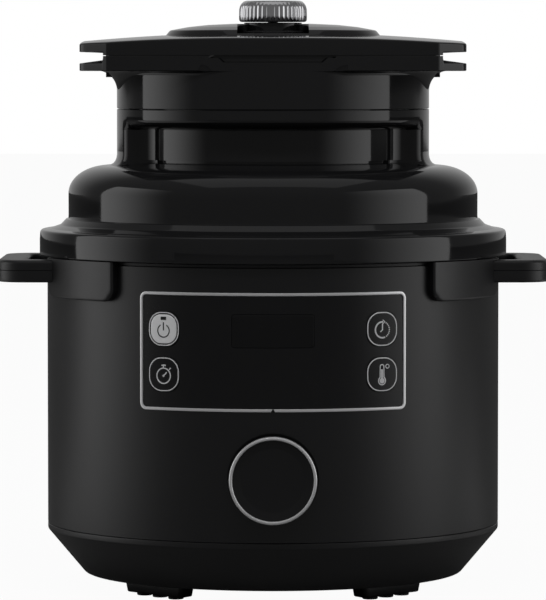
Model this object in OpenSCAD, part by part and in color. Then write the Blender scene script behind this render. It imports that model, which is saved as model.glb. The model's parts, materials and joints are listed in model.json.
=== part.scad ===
// Electric pressure cooker with a tall lift-off lid. Millimetres, +Z up, front towards -Y.
// The origin is on the cooker's axis, on the surface that it stands on.

/* [Body] */
// Outside radius of the cylindrical body
body_r = 160; // [157:1:161]
// Wall thickness of the body shell
body_wall = 2.4; // [2:0.1:2.6]
// Height of the seam between the base and the body shell
base_top = 46.1; // [45:0.1:47]
// Height of the body shell's top edge
body_top = 233; // [232.5:0.1:233]
// Underside of the base, above the surface
base_bottom = 10.6; // [9:0.1:12]

/* [Cooking pot] */
// Outside radius of the removable inner pot
pot_r = 120; // [116:1:121]
// Underside of the inner pot
pot_bottom = 61; // [61:0.5:64]

/* [Control panel] */
// Lower edge of the bright frame
frame_low = 135.5; // [133:0.5:137]
// Upper edge of the bright frame
frame_high = 216.1; // [214:0.5:217]
// Half width of the frame, straight across
frame_half = 90.6; // [88:0.2:93]
// Side of a square key with round corners
key_side = 23.4; // [21:0.2:24]
// Angle of the key columns from the front
key_angle = 27.6; // [26:0.2:28]
// Heights of the two key rows
key_rows = [160, 190.9];
// Radius of the dial
dial_r = 29.8; // [26:0.2:30]
// Height of the dial's axis
dial_z = 90; // [85:1:92]

/* [Side handles] */
// Distance from the cooker's axis to a handle's outer face
handle_x = 193.6; // [188:0.2:194]
// Half the length of a handle, front to back
handle_half = 67; // [62:1:68]

/* [Lid] */
// Radius of the lid's lower rim
rim_r = 165.4; // [164:0.2:167]
// Height of the lid's lower edge
lid_low = 235.6; // [235.4:0.1:236]
// Radius of the second tier
tier_r = 144.7; // [144:0.1:146]
// Height at which the second tier's wall would meet its sloping top
tier_top = 295.2; // [294.8:0.1:295.4]
// Radius of the neck's outer ring and of the turning handle
ring_r = 110.6; // [109:0.1:112]
// Radius of the bare neck
neck_r = 92.8; // [91:0.1:93]
// Height of the seam under the turning handle
turn_seam = 338.7; // [338:0.1:340]
// Height of the parting line of the handle's cover
cover_seam = 376.4; // [375:0.1:377]
// Distance from the axis to the tip of a grip wing
wing_x = 137.4; // [132:0.2:138]
// Angle through which the handle turns to lock the lid
turn_angle = 40; // [30:1:40]
// How far each locking bolt travels
bolt_travel = 5.5; // [4:0.1:5.5]

/* [Hidden] */
$fn = 64;
gap = 0.2;                       // between pieces that are fixed together
play = 0.3;                      // between pieces that move on each other
shell_in = body_r - body_wall;   // inner radius of the body shell
far = 400;                       // longer than any piece, for cutting tools
liner_r = 126;
foot_turn = 46;                  // angle of a foot from the front or the back
foot_place = 109;
dial_face = -174;                // Y of the dial's front rim
board_y = -130;                  // Y of the control board's front
wing_web = 118;                  // X of the wall between the two grip flanges
dome_top = 390.9;                // crown of the cover's dome
dome_r = 1523;
bolt_angles = [90, 210, 330];
bolt_tip = 141.8;
bolt_pin_r = 2.5;
bolt_pin_at = 127;
plate_low = 240;
cam_low = 249.4;
float_at = 116;
float_angle = 60;
duct_at = 60;
coupler_y = 153.6;                // Y of the lid coupler's three pins

// ---- Outlines ----

// Points of one corner b between a and c, rounded to radius r
function corner(a, b, c, r, n = 6) =
    r <= 0 ? [b] :
    let (u = (a - b) / norm(a - b), v = (c - b) / norm(c - b))
    let (half = acos(u * v) / 2, reach = r / tan(half))
    let (centre = b + (u + v) / norm(u + v) * r / sin(half))
    let (from = b + u * reach - centre, to = b + v * reach - centre)
    let (start = atan2(from.y, from.x), turn = atan2(to.y, to.x) - start)
    let (sweep = turn > 180 ? turn - 360 : turn < -180 ? turn + 360 : turn)
    [for (i = [0:n]) centre + r * [cos(start + sweep * i / n), sin(start + sweep * i / n)]];

// A closed outline from [x, y, corner radius] points
function rounded(p) = [
    for (i = [0:len(p) - 1])
        let (a = p[(i + len(p) - 1) % len(p)], b = p[i], c = p[(i + 1) % len(p)])
        each corner([a.x, a.y], [b.x, b.y], [c.x, c.y], b.z)
];

function reverse(p) = [for (i = [len(p) - 1:-1:0]) p[i]];

function box_points(w, h, r) = rounded([
    [-w / 2, -h / 2, r], [w / 2, -h / 2, r], [w / 2, h / 2, r], [-w / 2, h / 2, r]
]);

module turned(p) {
    rotate_extrude() polygon(rounded(p));
}

module ring(r0, r1, z0, z1) {
    turned([[r0, z0, 0], [r1, z0, 0], [r1, z1, 0], [r0, z1, 0]]);
}

// A ring's stretch from angle a0 to a1, counted from +X
module arc_block(r0, r1, z0, z1, a0, a1) {
    rotate([0, 0, a0])
        rotate_extrude(angle = a1 - a0)
            translate([r0, z0]) square([r1 - r0, z1 - z0]);
}

// A flat outline in X and Z, cut from Y = y0 to y1
module upright(y0, y1) {
    translate([0, y1, 0]) rotate([90, 0, 0]) linear_extrude(y1 - y0) children();
}

module rod(r, y0, y1, x = 0, z = 0) {
    translate([x, y1, z]) rotate([90, 0, 0]) cylinder(r = r, h = y1 - y0);
}

// ---- Base ----

module base_housing() {
    color([0.03, 0.03, 0.03])
    turned([
        [body_r, base_top, 0], [body_r, 42, 2.5], [133.6, base_bottom, 4],
        [90, base_bottom, 0], [90, base_bottom + 2.4, 0], [132.2, base_bottom + 2.4, 2],
        [body_r - 2.6, 43, 2], [body_r - 2.6, base_top, 0]
    ]);
}

module bottom_plate() {
    low = base_bottom + 2.6;
    color([0.05, 0.05, 0.05])
    difference() {
        translate([0, 0, low]) cylinder(r = 122, h = 1.8);
        for (row = [-6:6], column = [-6:6])
            if (norm([row, column]) < 6.3)
                translate([column * 11, row * 11, low - 1]) cylinder(r = 2.6, h = 4);
    }
}

module at_feet() {
    for (a = [foot_turn, 180 - foot_turn, 180 + foot_turn, -foot_turn])
        rotate([0, 0, a]) translate([0, -foot_place, 0]) children();
}

module feet() {
    color([0.04, 0.04, 0.04])
    at_feet()
        translate([0, 0, 2]) linear_extrude(base_bottom - 2) polygon(box_points(50, 18, 5));
}

module foot_pads() {
    color([0.02, 0.02, 0.02])
    at_feet()
        for (x = [-16, 0, 16])
            translate([x, 0, 0]) cylinder(r = 5.5, h = 2);
}

module body_shell() {
    low = base_top + gap;
    color([0.04, 0.04, 0.04])
    difference() {
        ring(shell_in, body_r, low, body_top);
        upright(-far, 0) translate([0, (frame_low + frame_high) / 2])
            polygon(box_points(2 * frame_half - 2, frame_high - frame_low - 2, 3));
        rod(dial_r + 4, -far, 0, z = dial_z);
        upright(0, far) translate([0, 80]) polygon(box_points(48.4, 36.4, 4));
    }
}

// Plastic ring that closes the body's top. Its upstand carries the lip that the lid bolts hook under.
module top_collar() {
    color([0.05, 0.05, 0.05])
    difference() {
        rotate_extrude() polygon([
            [123, 228], [123, 233.4], [130, 233.4], [130, 234.9], [148, 234.9], [148, 248.9],
            [143.5, 248.9], [143.5, 251.5], [151, 251.5], [151, 234.9], [158.5, 234.9],
            [158.5, body_top + gap], [157.2, body_top + gap], [157.2, 229], [155, 229],
            [155, 231.5], [128.4, 231.5], [128.4, 228]
        ]);
        translate([-20.2, 151.2, 220]) cube([40.4, 8, 20]);
    }
}

// Metal well around the pot, with the posts that carry the heating plate
module inner_liner() {
    color([0.62, 0.62, 0.63])
    union() {
        turned([
            [5, 36, 0], [liner_r + 1.2, 36, 6], [liner_r + 1.2, 227.8, 0],
            [liner_r, 227.8, 0], [liner_r, 37.5, 5], [5, 37.5, 0]
        ]);
        for (a = [0, 120, 240])
            rotate([0, 0, a]) translate([76, 0, 37]) cylinder(r = 4, h = 13.5);
    }
}

module inner_pot() {
    color([0.22, 0.22, 0.23])
    turned([
        [0, pot_bottom, 0], [pot_r, pot_bottom, 14], [pot_r, 233.6, 1], [128.4, 233.6, 0.6],
        [128.4, 235.6, 0.6], [pot_r - 1.8, 235.6, 1.5], [pot_r - 1.8, pot_bottom + 2, 12],
        [0, pot_bottom + 2, 0]
    ]);
}

// Cast plate with its ring element bonded underneath
module heating_plate() {
    color([0.72, 0.72, 0.73])
    union() {
        turned([
            [17, 50.7, 0], [86, 50.7, 1.5], [86, 57, 1.5], [80, pot_bottom - 0.2, 2],
            [17, pot_bottom - 0.2, 0.5]
        ]);
        rotate_extrude() translate([58, 48]) circle(4.5);
        for (x = [-9, 9]) translate([x, 57, 39]) cylinder(r = 3, h = 9);
    }
}

module sensor_cap() {
    color([0.75, 0.75, 0.76])
    turned([
        [0, pot_bottom - 0.2, 0], [14, pot_bottom - 0.2, 1], [14, 53, 0], [12.6, 53, 0],
        [12.6, 58, 0.5], [0, 58, 0]
    ]);
}

// Coil spring: a round wire swept along a helix
module sensor_spring() {
    turns = 4;
    steps = 12;
    sides = 6;
    coil_r = 9.5;
    wire_r = 1;
    low = 38.8;
    high = 56.6;
    last = turns * steps;
    points = [
        for (i = [0:last], j = [0:sides - 1])
            let (a = 360 * i / steps, b = 360 * j / sides, r = coil_r + wire_r * cos(b))
            [r * cos(a), r * sin(a), low + (high - low) * i / last + wire_r * sin(b)]
    ];
    skin = [
        for (i = [0:last - 1], j = [0:sides - 1])
            let (k = (j + 1) % sides)
            [i * sides + j, i * sides + k, (i + 1) * sides + k, (i + 1) * sides + j]
    ];
    ends = [
        [for (j = [sides - 1:-1:0]) j],
        [for (j = [0:sides - 1]) last * sides + j]
    ];
    color([0.6, 0.6, 0.62])
    polyhedron(points, concat(skin, ends), convexity = 6);
}

// ---- Control panel ----

// Children are drawn upright at a key's place, facing out along its own radius
module at_key(side, z) {
    rotate([0, 0, side * key_angle]) translate([0, 0, z]) children();
}

module key_outline(extra = 0) {
    polygon(box_points(key_side + 2 * extra, key_side + 2 * extra, 8.6 + extra));
}

module panel_key(side, z) {
    color([0.03, 0.03, 0.03])
    at_key(side, z)
        intersection() {
            upright(-far, 0) key_outline();
            ring(154.4, body_r + 0.5, -20, 20);
        }
}

module control_panel() {
    middle = (frame_low + frame_high) / 2;
    color([0.02, 0.02, 0.02])
    difference() {
        intersection() {
            ring(shell_in + 0.2, body_r, frame_low - 5, frame_high + 5);
            upright(-far, 0) translate([0, middle])
                polygon(box_points(2 * frame_half - 2.5, frame_high - frame_low - 2.5, 3));
        }
        for (side = [-1, 1], z = key_rows)
            at_key(side, z) upright(-far, -100) key_outline(play);
        upright(-far, 0) translate([0, 190.3]) polygon(box_points(56.2, 22.8, 2));
    }
}

module panel_frame() {
    middle = (frame_low + frame_high) / 2;
    color([0.8, 0.8, 0.82])
    intersection() {
        ring(body_r + 0.05, body_r + 0.9, frame_low - 5, frame_high + 5);
        upright(-far, 0) translate([0, middle]) difference() {
            polygon(box_points(2 * frame_half, frame_high - frame_low, 4.2));
            polygon(box_points(2 * frame_half - 4, frame_high - frame_low - 4, 2.4));
        }
    }
}

module display_window() {
    color([0.01, 0.01, 0.012])
    intersection() {
        ring(shell_in + 0.6, body_r - 0.15, 170, 210);
        upright(-far, 0) translate([0, 190.3]) polygon(box_points(55.8, 22.4, 1.8));
    }
}

module display_module() {
    color([0.1, 0.12, 0.11])
    translate([-30, -152.6, 177.5]) cube([60, 6, 25.6]);
}

// Circuit board with its key switches and the spacers under the display
module control_board() {
    color([0.05, 0.25, 0.12])
    union() {
        translate([-76, board_y, 142]) cube([152, 1.6, 68]);
        for (x = [-69, 63], z = key_rows)
            translate([x, board_y - 4, z - 3]) cube([6, 4.2, 6]);
        for (x = [-26, 20])
            translate([x, -146.5, 187]) cube([6, 17, 6]);
    }
}

module dial_seat() {
    color([0.02, 0.02, 0.02])
    intersection() {
        difference() {
            rod(dial_r + 3.8, -far, -152, z = dial_z);
            rod(dial_r + 2.2, -far, -154, z = dial_z);
            rod(5, -far, 0, z = dial_z);
        }
        cylinder(r = body_r - 0.1, h = 150);
    }
}

module dial_encoder() {
    color([0.3, 0.3, 0.3])
    difference() {
        union() {
            translate([-7, -146, dial_z - 7]) cube([14, 9, 14]);
            rod(4.4, -151, -145.5, z = dial_z);
            translate([-20, -137, dial_z - 20]) cube([40, 1.6, 40]);
            for (z = [-15, 9]) translate([-3, -136, dial_z + z]) cube([6, 8.4, 6]);
        }
        rod(3.05, -160, -140, z = dial_z);
    }
}

module dial_shaft() {
    color([0.7, 0.7, 0.7])
    rod(3, -168, -140.5, z = dial_z);
}

module dial_knob() {
    color([0.05, 0.05, 0.05])
    difference() {
        union() {
            rod(dial_r - 0.2, -170, -155, z = dial_z);
            rod(dial_r - 2.2, -172.8, -169, z = dial_z);
        }
        rod(dial_r - 3, -166, -150, z = dial_z);
        rod(3, -168, -150, z = dial_z);
    }
    color([0.05, 0.05, 0.05])
    difference() {
        rod(7, -166, -156, z = dial_z);
        rod(3, -168, -150, z = dial_z);
    }
}

module dial_ring() {
    color([0.75, 0.75, 0.77])
    difference() {
        rod(dial_r, dial_face, -170, z = dial_z);
        rod(dial_r - 2.1, -180, -160, z = dial_z);
    }
}

// ---- Electrics in the base ----

module power_board() {
    color([0.3, 0.24, 0.1])
    rotate([0, 0, 125]) {
        for (z = [90, 155]) translate([-3, -135, z]) cube([6, 7.4, 6]);
        translate([-48, -136, 75]) cube([96, 1.6, 100]);
        translate([-40, -149, 82]) cube([36, 13, 34]);
        translate([6, -148, 84]) cube([20, 12, 24]);
        translate([-30, -146, 130]) cube([22, 10, 30]);
        translate([14, -143, 140]) cube([16, 7, 16]);
    }
}

module inlet_housing() {
    color([0.03, 0.03, 0.03])
    difference() {
        union() {
            upright(150, 170) translate([0, 80]) polygon(box_points(48, 36, 3.8));
            upright(150, 152) translate([0, 80]) polygon(box_points(58, 46, 4));
        }
        upright(155, 180) translate([0, 80]) polygon(box_points(28, 20, 3));
        for (x = [-7, 0, 7])
            upright(140, 160) translate([x, 80]) square([2.2, 4.2], center = true);
    }
}

module inlet_pins() {
    color([0.75, 0.6, 0.3])
    for (x = [-7, 0, 7])
        upright(146, 167) translate([x, 80]) square([2, 4], center = true);
}

// Coupler at the rear that feeds the lid's heater and fan
module lid_socket() {
    color([0.04, 0.04, 0.04])
    difference() {
        translate([-20, 151.4, 222]) cube([40, 4.4, 18]);
        for (x = [-12, 0, 12]) translate([x, coupler_y, 226]) cylinder(r = 1.5, h = 20);
    }
}

// ---- Side handles, drawn on the right and mirrored to the left ----

module handle_loop(z0, z1) {
    inner_x = handle_x - 20;
    inner_y = handle_half - 17;
    difference() {
        translate([0, 0, z0]) linear_extrude(z1 - z0)
            polygon(rounded([
                [120, -handle_half, 0], [handle_x, -handle_half, 13],
                [handle_x, handle_half, 13], [120, handle_half, 0]
            ]));
        translate([0, 0, z0 - 1]) linear_extrude(z1 - z0 + 2)
            polygon(rounded([
                [110, -inner_y, 0], [inner_x, -inner_y, 6], [inner_x, inner_y, 6], [110, inner_y, 0]
            ]));
    }
}

// The curved panels that hold a handle on the body, cut to an outline in X and Z
module handle_lugs(z0, z1, outline) {
    for (m = [0, 1])
        mirror([0, m, 0])
            intersection() {
                translate([0, 0, z0]) cylinder(r = 166, h = z1 - z0);
                upright(-far, -20) polygon(rounded(outline));
            }
}

module handle_frame() {
    color([0.04, 0.04, 0.04])
    difference() {
        union() {
            handle_loop(219.8, 226.6);
            handle_lugs(208.6, 226.6, [[112.5, 208.6, 8], [154, 208.6, 8], [158, 240, 0], [111, 240, 0]]);
        }
        cylinder(r = body_r + play, h = far);
    }
}

module handle_cap() {
    color([0.04, 0.04, 0.04])
    difference() {
        union() {
            handle_loop(226.8, 233.9);
            handle_lugs(226.8, 235.2, [[111.6, 220, 0], [158, 220, 0], [158, 240, 0], [111.2, 240, 0]]);
        }
        cylinder(r = body_r + play, h = far);
    }
}

// ---- Lid ----

// Rim, tier, the ring above the neck and the two side pillars: one moulding
module lid_shell() {
    color([0.03, 0.03, 0.03])
    union() {
        turned([
            [rim_r, lid_low, 1], [rim_r, 252.9, 5], [tier_r, 260.9, 2], [tier_r, tier_top, 14],
            [117.6, tier_top + 3.5, 0], [94, tier_top + 6.4, 1], [89, tier_top + 6.4, 0.4],
            [89, tier_top - 4.4, 0], [tier_r - 2.8, tier_top - 4.4, 9], [tier_r - 2.8, 258.8, 0],
            [162.4, 251, 3], [162.4, lid_low, 0]
        ]);
        turned([
            [ring_r, turn_seam - 0.2, 0], [ring_r, 331.5, 4], [95.4, 325.6, 0.6],
            [95.4, turn_seam - 0.2, 0]
        ]);
        for (side = [0, 180])
            rotate([0, 0, side - 17])
                rotate_extrude(angle = 34)
                    polygon(rounded([
                        [96, tier_top, 0], [124, tier_top, 0], [117, tier_top + 4, 3],
                        [ring_r, 305, 6], [ring_r, 333, 0], [96, 333, 0]
                    ]));
    }
}

module pressure_plate() {
    color([0.7, 0.7, 0.71])
    difference() {
        union() {
            ring(103.4, 141.5, plate_low, plate_low + 2.5);
            ring(140.2, 141.5, plate_low, 268);
            for (a = bolt_angles, y = [-21, 18.4])
                rotate([0, 0, a]) translate([124, y, plate_low + 2]) cube([13, 2.6, 7]);
        }
        for (a = bolt_angles)
            rotate([0, 0, a]) translate([135, -18.8, 244.2]) cube([12, 37.6, 4.8]);
        rotate([0, 0, float_angle]) translate([float_at, 0, 230]) cylinder(r = 2.7, h = 20);
    }
}

module gasket() {
    color([0.75, 0.75, 0.72])
    turned([
        [121.5, 239.8, 0], [121.5, 236.6, 0.8], [131, 236.2, 0.8], [131, 239.8, 0]
    ]);
}

module heater_dome() {
    color([0.7, 0.7, 0.71])
    difference() {
        turned([
            [0, 285, 0], [103, 285, 12], [103, plate_low, 0], [101.8, plate_low, 0],
            [101.8, 283.8, 10.8], [0, 283.8, 0]
        ]);
        translate([0, 0, 280]) cylinder(r = 3.4, h = 10);
        translate([0, duct_at, 280]) cylinder(r = 4, h = 10);
        rotate([0, 0, 90]) translate([0, 80, 280]) cylinder(r = 2, h = 10);
    }
}

module heating_coil() {
    color([0.35, 0.33, 0.32])
    union() {
        for (r = [74, 88]) rotate_extrude() translate([r, 253]) circle(3.2);
        translate([74, 0, 253]) rotate([0, 90, 0]) cylinder(r = 3.2, h = 14);
        for (y = [-9, 9]) translate([80, y, 253]) cylinder(r = 3, h = 28);
        for (y = [-9, 9]) translate([80, 0, 253]) rotate([90 * sign(y), 0, 0]) cylinder(r = 3, h = 9);
    }
}

module guard_grille() {
    color([0.65, 0.65, 0.66])
    union() {
        for (r = [14:11:91]) ring(r, r + 2, 240.3, 241.7);
        ring(98.6, 101.2, 240.3, 241.7);
        translate([0, 0, 240.3]) cylinder(r = 5, h = 1.4);
        for (a = [0:45:315])
            rotate([0, 0, a]) translate([2, -1.2, 240.3]) cube([98, 2.4, 1.4]);
    }
}

// Straight blades between a hub and a back disc
module blade_wheel(r, z0, z1, count) {
    difference() {
        union() {
            translate([0, 0, z0]) cylinder(r = 8, h = z1 - z0);
            translate([0, 0, z1 - 1]) cylinder(r = r, h = 1);
            for (a = [0:360 / count:359])
                rotate([0, 0, a]) translate([6, -0.6, z0]) cube([r - 7, 1.2, z1 - z0 - 0.5]);
        }
        translate([0, 0, z0 - 1]) cylinder(r = 3, h = z1 - z0 + 2);
    }
}

module convection_fan() {
    color([0.7, 0.7, 0.7]) blade_wheel(62, 262, 277, 12);
}

module cooling_fan() {
    color([0.15, 0.15, 0.16]) blade_wheel(45, 327, 341, 9);
}

module fan_shaft() {
    color([0.7, 0.7, 0.7]) translate([0, 0, 258]) cylinder(r = 3, h = 86);
}

module fan_motor() {
    color([0.5, 0.5, 0.48])
    difference() {
        union() {
            translate([0, 0, 289]) cylinder(r = 34, h = 16);
            translate([0, 0, 305]) cylinder(r = 27, h = 14);
            for (a = [30, 150, 270])
                rotate([0, 0, a]) translate([28, 0, 285.1]) cylinder(r = 3.5, h = 5);
        }
        translate([0, 0, 280]) cylinder(r = 3.05, h = 60);
    }
}

// Tube that leads steam from the dome round the motor to the valve on the axis
module steam_duct() {
    color([0.68, 0.68, 0.7])
    difference() {
        union() {
            translate([0, duct_at, 285.1]) cylinder(r = 6, h = 82);
            rod(6, 0, duct_at, z = 361);
            translate([0, 0, 355]) cylinder(r = 6, h = 29);
            translate([0, 0, 382]) cylinder(r = 14, h = 2);
        }
        translate([0, duct_at, 280]) cylinder(r = 4, h = 81);
        rod(4, 0, duct_at, z = 361);
        translate([0, 0, 361]) cylinder(r = 4, h = 30);
    }
}

// Pressure float: its seal lifts against the plate's underside, and its top blocks the cam ring
module float_valve() {
    color([0.8, 0.25, 0.2])
    rotate([0, 0, float_angle]) translate([float_at, 0, 0]) {
        translate([0, 0, 235.9]) cylinder(r = 4, h = 1.2);
        translate([0, 0, 236.5]) cylinder(r = 2.4, h = 7);
        translate([0, 0, 242.7]) cylinder(r = 4, h = 4.3);
    }
}

module bolt(a) {
    color([0.72, 0.72, 0.73])
    rotate([0, 0, a]) {
        intersection() {
            translate([121.5, -18, 244.6]) cube([30, 36, 4]);
            cylinder(r = bolt_tip, h = far);
        }
        translate([bolt_pin_at, 0, 248]) cylinder(r = bolt_pin_r, h = 4);
    }
}

// Plug block in the lid's rim, with three pins that reach down into the socket
module lid_plug() {
    color([0.05, 0.05, 0.05])
    union() {
        translate([-19, 152.4, 243]) cube([38, 6, 8.4]);
        for (x = [-12, 0, 12]) translate([x, coupler_y, 230]) cylinder(r = 1.1, h = 14);
    }
}

// Seat of the pressure valve, with a split lip round the neck that the valve turns on
module valve_collar() {
    color([0.03, 0.03, 0.03])
    difference() {
        union() {
            translate([0, 0, 384.1]) cylinder(r = 25.3, h = 9);
            difference() {
                ring(21.6, 25.3, 392, 398);
                translate([-20, -30, 393.2]) cube([40, 60, 5]);
            }
            translate([0, 0, 392]) cylinder(r = 20.4, h = 7.6);
        }
        translate([0, 0, 380]) cylinder(r = 4, h = 30);
    }
}

// Fluted grip of the pressure valve
module valve_ring() {
    flutes = 40;
    color([0.85, 0.85, 0.86])
    difference() {
        intersection() {
            translate([0, 0, 400]) linear_extrude(15)
                polygon([for (i = [0:flutes * 4 - 1])
                    let (a = 360 * i / (flutes * 4), r = 23.4 + (i % 4 < 2 ? 0.6 : 0))
                    [r * cos(a), r * sin(a)]]);
            turned([[0, 400, 0], [24.1, 400, 0.6], [24.1, 415, 3], [0, 415, 0]]);
        }
        translate([0, 0, 413.4]) cylinder(r = 18, h = 5);
        translate([0, 0, 399]) cylinder(r = 15, h = 12);
        translate([0, 0, 399]) cylinder(r = 4.2, h = 20);
    }
}

// Black top of the valve and the stem that reaches down into the collar's bore
module valve_cap() {
    color([0.04, 0.04, 0.04])
    union() {
        translate([0, 0, 413.5]) cylinder(r = 17.9, h = 1.3);
        translate([0, 0, 394]) cylinder(r = 3.6, h = 20);
    }
}

// ---- Turning handle and the lock that it drives ----

// Bell that carries the handle's turn down through the lid to the cam ring
module drive_bell() {
    color([0.1, 0.1, 0.1])
    turned([
        [86, 337.5, 0], [88, 337.5, 0], [88, 303, 0], [88.5, 302.6, 0], [88.5, 289.4, 0],
        [111, 289.4, 3], [111, 251.6, 0], [108.8, 251.6, 0], [108.8, 287.4, 2], [86, 287.4, 0]
    ]);
}

// Visible skin of the neck
module neck_sleeve() {
    color([0.03, 0.03, 0.03])
    turned([
        [88.3, turn_seam, 0], [neck_r, turn_seam, 0], [neck_r, 303.4, 1], [88.3, 303.4, 0]
    ]);
}

// Disc with one spiral slot for each bolt's pin. A slot's radius grows evenly with its angle.
module cam_ring() {
    slot_half = bolt_pin_r + play;
    over = 1.4;
    steps = 24;
    function spiral(off) = [
        for (i = [0:steps])
            let (a = -over + (turn_angle + 2 * over) * i / steps)
            let (r = bolt_pin_at + bolt_travel * a / turn_angle + off)
            [r * cos(a), r * sin(a)]
    ];
    color([0.72, 0.72, 0.73])
    difference() {
        translate([0, 0, cam_low]) cylinder(r = 138, h = 2);
        translate([0, 0, cam_low - 1]) cylinder(r = 108.8, h = 4);
        for (a = bolt_angles)
            rotate([0, 0, a]) {
                arc_block(111, 121.6, cam_low - 1, cam_low + 3, 6, 114);
                translate([0, 0, cam_low - 1]) linear_extrude(4)
                    polygon(concat(spiral(slot_half), reverse(spiral(-slot_half))));
            }
    }
}

// Plan of the handle: round at front and back, then straight and tangent to the grip wings
function handle_half_plan(inset) =
    let (r = ring_r + 0.4 - inset, leave = 13, steps = 6)
    [
        for (i = [-steps:steps])
            let (a = leave * i / steps) [r * sin(a), -r * cos(a), 0],
        [117 - inset, inset - 87, 3], [wing_x - inset, -66, 14]
    ];

module handle_plan(inset = 0) {
    half = handle_half_plan(inset);
    turned_half = [for (p = half) [-p.x, -p.y, p.z]];
    polygon(rounded(concat(
        [[inset - wing_x, -66, 14], [inset - 117, inset - 87, 3]], half,
        [[wing_x - inset, 66, 14], [117 - inset, 87 - inset, 3]], turned_half
    )));
}

module grip_channels() {
    for (side = [0, 180])
        rotate([0, 0, side])
            translate([0, 150, 0]) rotate([90, 0, 0]) linear_extrude(300)
                polygon([
                    [wing_web, 373.2], [wing_web, 378.2], [122, 378.8],
                    [wing_x + 5, 380], [wing_x + 5, 371], [122, 372.6]
                ]);
}

module handle_body() {
    inner = ring_r - 2.6;
    tray_low = 365.4;
    color([0.03, 0.03, 0.03])
    difference() {
        union() {
            translate([0, 0, turn_seam + 0.2]) cylinder(r = ring_r, h = 366 - turn_seam);
            translate([0, 0, tray_low]) linear_extrude(cover_seam - 0.2 - tray_low) handle_plan();
        }
        translate([0, 0, 330]) cylinder(r = 88, h = 20);
        translate([0, 0, 341.4]) cylinder(r = inner, h = 60);
        translate([0, 0, tray_low + 2.4]) linear_extrude(20)
            intersection() {
                handle_plan(2.8);
                square([2 * wing_web - 5, 300], center = true);
            }
        grip_channels();
        for (side = [-1, 1])
            translate([side * 112.15, 0, 361]) cube([12.3, 20.6, 22], center = true);
        upright(-120, -ring_r + 2)
            polygon([[-38.5, cover_seam + 1], [38.5, cover_seam + 1], [35, 372], [-35, 372]]);
    }
}

module handle_cover() {
    dome = [for (r = [160:-20:0]) [r, dome_top - r * r / (2 * dome_r)]];
    color([0.03, 0.03, 0.03])
    difference() {
        intersection() {
            translate([0, 0, cover_seam]) linear_extrude(20) handle_plan();
            rotate_extrude() polygon(concat([[0, 360], [160, 360]], dome));
        }
        translate([0, 0, cover_seam - 1]) cylinder(r = 104, h = 7.4);
        translate([0, 0, cover_seam - 1]) cylinder(r = 26, h = 30);
        grip_channels();
    }
}

module cover_disc() {
    color([0.04, 0.04, 0.04])
    turned([
        [26, 391.1, 0], [75.5, 389.5, 0], [73.4, 393.8, 1], [60, 395.6, 0], [40, 397.2, 0],
        [26, 397.8, 0.4]
    ]);
}

// Release under a grip, held in the handle by its wider head
module grip_trigger(side) {
    color([0.04, 0.04, 0.04])
    mirror([side < 0 ? 1 : 0, 0, 0])
        union() {
            translate([109.2, -10, 361]) cube([8.8, 20, 6.4]);
            translate([109.2, -10, 367]) cube([5.8, 20, 2.6]);
            translate([109.2, -13, 368.1]) cube([5.8, 26, 1.5]);
        }
}

base_housing();
bottom_plate();
feet();
foot_pads();
body_shell();
top_collar();
inner_liner();
inner_pot();
heating_plate();
sensor_cap();
sensor_spring();
control_panel();
panel_frame();
display_window();
display_module();
control_board();
panel_key(-1, key_rows[1]);  // button_power
panel_key(-1, key_rows[0]);  // button_timer
panel_key(1, key_rows[1]);  // button_delay
panel_key(1, key_rows[0]);  // button_temperature
dial_seat();
dial_encoder();
dial_shaft();
dial_knob();
dial_ring();
power_board();
inlet_housing();
inlet_pins();
lid_socket();
mirror([1, 0, 0]) handle_frame();  // handle_left_frame
mirror([1, 0, 0]) handle_cap();  // handle_left_cap
handle_frame();  // handle_right_frame
handle_cap();  // handle_right_cap
lid_shell();
pressure_plate();
gasket();
heater_dome();
heating_coil();
guard_grille();
convection_fan();
fan_shaft();
cooling_fan();
fan_motor();
steam_duct();
float_valve();
bolt(bolt_angles[0]);  // bolt_1
bolt(bolt_angles[1]);  // bolt_2
bolt(bolt_angles[2]);  // bolt_3
lid_plug();
valve_collar();
valve_ring();
valve_cap();
drive_bell();
neck_sleeve();
cam_ring();
handle_body();
handle_cover();
cover_disc();
grip_trigger(-1);  // grip_left
grip_trigger(1);  // grip_right
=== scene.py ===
import json
import math

import bmesh
import bpy
import numpy as np
from mathutils import Matrix, Vector


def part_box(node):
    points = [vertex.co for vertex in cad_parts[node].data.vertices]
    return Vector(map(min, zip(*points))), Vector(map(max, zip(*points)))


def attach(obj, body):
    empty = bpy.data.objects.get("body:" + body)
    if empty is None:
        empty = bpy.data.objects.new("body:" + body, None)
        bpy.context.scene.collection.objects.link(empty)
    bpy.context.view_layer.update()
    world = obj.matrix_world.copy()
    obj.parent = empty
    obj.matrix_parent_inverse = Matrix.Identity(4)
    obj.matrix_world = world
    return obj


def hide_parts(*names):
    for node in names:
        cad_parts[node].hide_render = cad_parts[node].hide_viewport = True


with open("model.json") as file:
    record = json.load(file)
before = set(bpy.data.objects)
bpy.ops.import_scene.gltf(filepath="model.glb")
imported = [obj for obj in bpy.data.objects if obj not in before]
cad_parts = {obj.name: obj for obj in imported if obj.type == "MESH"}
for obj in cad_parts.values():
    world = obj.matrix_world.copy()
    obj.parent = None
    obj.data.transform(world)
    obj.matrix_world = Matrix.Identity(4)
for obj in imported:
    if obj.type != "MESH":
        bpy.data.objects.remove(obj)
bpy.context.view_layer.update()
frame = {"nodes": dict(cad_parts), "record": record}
MM = 0.001


# ---- Places read from the frame, in millimetres ----

def box(node):
    low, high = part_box(node)
    return low / MM, high / MM


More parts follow.
